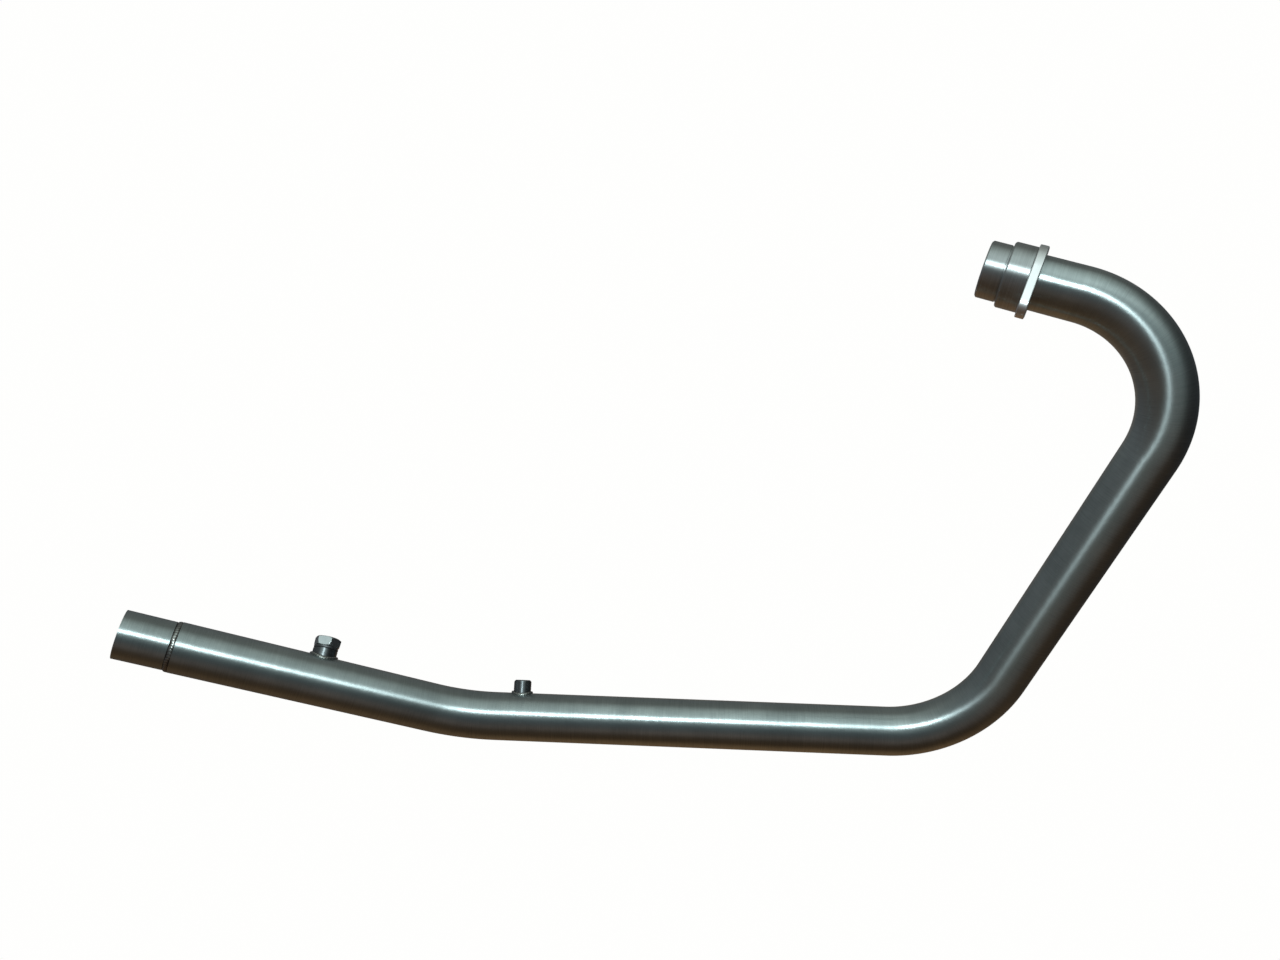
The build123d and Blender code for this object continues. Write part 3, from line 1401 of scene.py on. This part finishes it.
@dataclass
class BracketBoss:
    """Turned and tapped boss on the lower run."""

    route: Route
    blank_start: float = 18.0
    radius: float = 8.2
    height: float = 12.0
    chamfer: float = 1.0
    cope_clearance: float = 0.05
    edge: float = 0.25
    thread_radius: float = 3.4
    thread_depth: float = 10.0
    thread_pitch: float = 1.25
    thread_height: float = 0.55
    thread_crest: float = 0.1
    # Half the width of the thread's root, as a share of its pitch
    thread_root: float = 0.42
    thread_bite: float = 0.05
    thread_ends: float = 1.6
    thread_mouth: float = 0.3
    drill_point: float = 1.2
    ring_count: int = 4
    ring_pitch: float = 2.0
    ring_depth: float = 0.12
    ring_margin: float = 0.6
    sides: int = 96

    def _ring(self, spot: float) -> Profile:
        """Draws the half section of one shallow tool ring.

        Args:
            spot: Height on the wall where the ring ends.

        Returns:
            Three points of the section.
        """
        half = self.ring_pitch / 4
        root = self.radius - self.ring_depth
        return (spot - 2 * half, self.radius), (spot - half, root), (spot, self.radius)

    def build_boss(self) -> bpy.types.Object:
        """Models the boss with its tool rings, rounded top and tapped hole, coped to the tube.

        Returns:
            The boss, in place.
        """
        top = self.route.tube_radius + self.height
        root = self.thread_radius + self.thread_height
        bottom = top - self.thread_depth
        # The wall is rounded over to the top in two slopes
        wall_top = top - 2.0 * self.chamfer
        rings = []
        for i in reversed(range(self.ring_count)):
            rings += self._ring(wall_top - self.ring_margin - i * self.ring_pitch)
        boss = turn(
            "bracket_boss_turned",
            [
                (self.blank_start, 0.0),
                (self.blank_start, self.radius),
                *rings,
                (wall_top, self.radius),
                (top - 0.8 * self.chamfer, self.radius - 0.5 * self.chamfer),
                (top, self.radius - 1.6 * self.chamfer),
                (top, root + self.thread_mouth),
                (top - 2.0 * self.thread_mouth, root),
                (bottom, root),
                (bottom - self.drill_point, 0.0),
            ],
            self.sides,
        )
        cope(boss, self.route.tube_radius + self.cope_clearance)
        return fit(boss, self.route.boss, self.edge)

    def build_thread(self) -> bpy.types.Object:
        """Models the thread in the boss as a screwed ridge.

        Returns:
            The thread, in place.
        """
        root = self.thread_radius + self.thread_height + self.thread_bite
        half = self.thread_pitch * self.thread_root
        crest, inner = self.thread_crest, self.thread_radius
        section = [(-half, root), (-crest, inner), (crest, inner), (half, root)]
        thread = trace("bracket_boss_thread", section)
        modify(
            thread,
            "SCREW",
            axis="Z",
            angle=math.tau,
            screw_offset=self.thread_pitch * MM,
            iterations=int((self.thread_depth - self.thread_ends) / self.thread_pitch),
            steps=48,
            render_steps=48,
        )
        edit(thread)
        bpy.ops.mesh.remove_doubles(threshold=MERGE_DISTANCE * MM)
        bpy.ops.mesh.select_all(action="DESELECT")
        bpy.ops.mesh.select_non_manifold()
        bpy.ops.mesh.fill()
        settle(thread)
        first_turn = self.route.tube_radius + self.height - self.thread_depth + half + 2 * crest
        return fit(thread, self.route.boss.shifted(first_turn), 0.0)

    def dress(self) -> None:
        """Builds the boss and hands its pieces over."""
        hand_over(self.build_boss(), UNPOLISHED, Slot.TURNED, Body.HEADER, "bracket_boss")
        hand_over(self.build_thread(), UNPOLISHED, Slot.TURNED, Body.HEADER)
        bead = saddle_bead("boss_weld_bead", self.route.boss, self.radius, self.route.tube_radius)
        hand_over(bead, AS_WELDED, Slot.WELD, Body.HEADER, "boss_weld")


# Studio


@dataclass(frozen=True)
class Studio:
    """Pale floor, one soft light high in front, soft surroundings and the camera."""

    floor_height: float = -440.0
    floor_radius: float = 3600.0
    wall_height: float = 3200.0
    cove_radius: float = 1200.0
    floor_colour: str = "#f4f4f3"
    floor_glow: float = 1.1
    aim: Vector = Vector((-270.0, -70.0, -250.0))
    light_way: Vector = Vector((-0.04, -0.62, 0.78)).normalized()
    light_distance: float = 1450.0
    light_width: float = 180.0
    light_depth: float = 320.0
    light_power: float = 8.2
    light_colour: str = "#e4f4f7"
    # Brightness of the room from below to above, each with its place from 0 to 1
    sides: Stops = (
        (0.0, (0.084, 0.048, 0.024, 1.0)),
        (0.2, (0.088, 0.064, 0.048, 1.0)),
        (0.44, (0.09, 0.09, 0.096, 1.0)),
        (0.57, (0.11, 0.12, 0.13, 1.0)),
        (0.68, (0.14, 0.15, 0.155, 1.0)),
        (0.89, (0.18, 0.19, 0.185, 1.0)),
        (1.0, (0.28, 0.3, 0.29, 1.0)),
    )
    sides_up: Vector = Vector((0.0, 0.4, 0.9)).normalized()
    # The right-hand side of the room is the darker one
    left_shade: float = 1.15
    right_shade: float = 0.28
    # Brightness of a strip of the room over the camera, by the angle up from straight ahead: a brown table
    # in front and below, and a bright ceiling round the light that falls off towards the back
    strip: Stops = (
        (-180.0, (0.14, 0.15, 0.15, 1.0)),
        (-120.0, (0.18, 0.11, 0.06, 1.0)),
        (-85.0, (0.185, 0.108, 0.055, 1.0)),
        (-57.0, (0.056, 0.033, 0.018, 1.0)),
        (-34.0, (0.06, 0.042, 0.03, 1.0)),
        (-14.0, (0.15, 0.122, 0.11, 1.0)),
        (5.0, (0.11, 0.114, 0.114, 1.0)),
        (23.0, (0.11, 0.14, 0.148, 1.0)),
        (45.0, (0.36, 0.44, 0.44, 1.0)),
        (62.0, (1.1, 1.28, 1.27, 1.0)),
        (80.0, (0.88, 1.03, 1.01, 1.0)),
        (102.0, (0.62, 0.71, 0.68, 1.0)),
        (128.0, (0.19, 0.2, 0.185, 1.0)),
        (165.0, (0.16, 0.17, 0.165, 1.0)),
        (180.0, (0.14, 0.15, 0.15, 1.0)),
    )
    strip_narrowness: float = 1.65
    strip_shift: float = -0.2
    camera_spot: Vector = Vector((-233.88, -800.65, 195.7))
    camera_right: Vector = Vector((0.9985, 0.05457, 0.00337))
    camera_down: Vector = Vector((0.02707, -0.43975, -0.89771))
    lens: float = 27.703
    sensor: float = 36.0

    def build(self) -> None:
        """Sets up the studio."""
        self._floor()
        self._surroundings()
        self._light()
        self._camera()

    def _floor(self) -> None:
        """Lays a round floor that curves up into a wall."""
        bottom = self.floor_radius - self.cove_radius
        angles = [math.radians(a) for a in range(0, 91, 10)]
        cove = [
            (self.cove_radius * (1 - math.cos(a)), bottom + self.cove_radius * math.sin(a)) for a in angles
        ]
        section = [(0.0, 0.0), *cove, (self.wall_height, self.floor_radius)]
        floor = trace("studio_floor", section, closed=False)
        bpy.ops.mesh.spin(steps=96, angle=math.tau, center=(0, 0, 0), axis=(0, 0, 1))
        settle(floor, inside=True)
        soften(floor, width=0.0, angle=60.0)
        place(floor, Seat(Vector((self.aim.x, self.aim.y, self.floor_height)), UPWARD, REARWARD).matrix())
        # Back-lit white table: it glows evenly, so it looks pale all over and takes no shadow
        material = bpy.data.materials.new("pale_light_table")
        material.use_nodes = True
        shader = material.node_tree.nodes["Principled BSDF"].inputs
        shader["Base Color"].default_value = (0.0, 0.0, 0.0, 1.0)
        shader["Roughness"].default_value = 0.95
        shader["Specular IOR Level"].default_value = 0.0
        shader["Emission Color"].default_value = linear(self.floor_colour)
        shader["Emission Strength"].default_value = self.floor_glow
        floor.data.materials.append(material)
        floor.visible_glossy = False

    def _surroundings(self) -> None:
        """Sets the soft surroundings that the metal reflects: warm and dark below, cool grey above."""
        world = bpy.data.worlds.new("studio_surroundings")
        bpy.context.scene.world = world
        world.use_nodes = True
        tree = world.node_tree
        tree.nodes.clear()
        way = add_node(tree, "ShaderNodeTexCoord").outputs["Generated"]
        parts = add_node(tree, "ShaderNodeSeparateXYZ", {"Vector": way}).outputs
        level = add_node(tree, "ShaderNodeVectorMath", {0: way, 1: self.sides_up}, operation="DOT_PRODUCT")
        height = add_node(
            tree,
            "ShaderNodeMapRange",
            {"Value": level.outputs["Value"], "From Min": -1.0, "From Max": 1.0},
        )
        walls = add_node(tree, "ShaderNodeValToRGB", {"Fac": height}, self.sides)
        shade = add_node(
            tree,
            "ShaderNodeMapRange",
            {
                "Value": parts["X"],
                "From Min": -1.0,
                "From Max": 1.0,
                "To Min": self.left_shade,
                "To Max": self.right_shade,
            },
        )
        sides = add_node(tree, "ShaderNodeVectorMath", {0: walls, "Scale": shade}, operation="SCALE")
        front = add_node(tree, "ShaderNodeMath", {0: parts["Y"], 1: -1.0}, operation="MULTIPLY")
        rise = add_node(tree, "ShaderNodeMath", {0: parts["Z"], 1: front}, operation="ARCTAN2")
        share = add_node(
            tree, "ShaderNodeMapRange", {"Value": rise, "From Min": -math.pi, "From Max": math.pi}
        )
        stops = [((angle + 180.0) / 360.0, shade_there) for angle, shade_there in self.strip]
        strip = add_node(tree, "ShaderNodeValToRGB", {"Fac": share}, stops)
        aside = add_node(
            tree,
            "ShaderNodeMath",
            {0: parts["X"], 1: self.strip_narrowness, 2: self.strip_shift},
            operation="MULTIPLY_ADD",
        )
        squared = add_node(tree, "ShaderNodeMath", {0: aside, 1: aside}, operation="MULTIPLY")
        within = add_node(
            tree, "ShaderNodeMath", {0: 1.0, 1: squared}, operation="SUBTRACT", use_clamp=True
        )
        room = add_node(tree, "ShaderNodeMix", {"Factor": within, "A": sides, "B": strip}, data_type="RGBA")
        glow = room.outputs["Result"]
        background = add_node(tree, "ShaderNodeBackground", {"Color": glow, "Strength": 1.0})
        add_node(tree, "ShaderNodeOutputWorld", {"Surface": background})

    def _light(self) -> None:
        """Hangs the soft light."""
        light = bpy.data.lights.new("soft_light", "AREA")
        light.shape = "RECTANGLE"
        light.size = self.light_width * MM
        light.size_y = self.light_depth * MM
        light.energy = self.light_power
        light.color = linear(self.light_colour)[:3]
        lamp = bpy.data.objects.new("soft_light", light)
        bpy.context.scene.collection.objects.link(lamp)
        lamp.location = (self.aim + self.light_way * self.light_distance) * MM
        lamp.rotation_mode = "QUATERNION"
        lamp.rotation_quaternion = (-self.light_way).to_track_quat("-Z", "Y")

    def _camera(self) -> None:
        """Sets the camera where the photograph was taken from."""
        data = bpy.data.cameras.new("camera")
        data.sensor_fit = "HORIZONTAL"
        data.sensor_width = self.sensor
        data.lens = self.lens
        data.clip_start = 0.01
        data.clip_end = 100.0
        camera = bpy.data.objects.new("camera", data)
        bpy.context.scene.collection.objects.link(camera)
        right = self.camera_right.normalized()
        up = -self.camera_down.normalized()
        turned = Matrix((right, up, right.cross(up))).transposed().to_4x4()
        camera.matrix_world = Matrix.Translation(self.camera_spot * MM) @ turned
        bpy.context.scene.camera = camera
        # The plain view keeps the table white and the edges of the metal clean against it
        bpy.context.scene.view_settings.view_transform = "Standard"


def main() -> None:
    """Builds the sub-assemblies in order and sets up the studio."""
    logging.basicConfig(level=logging.INFO, format="%(name)s: %(message)s")
    route = Route()
    for sub_assembly in (HeaderTube, PortEnd, OutletEnd, SensorFitting, BracketBoss):
        sub_assembly(route).dress()
    Studio().build()
    deselect()


if __name__ == "__main__":
    main()
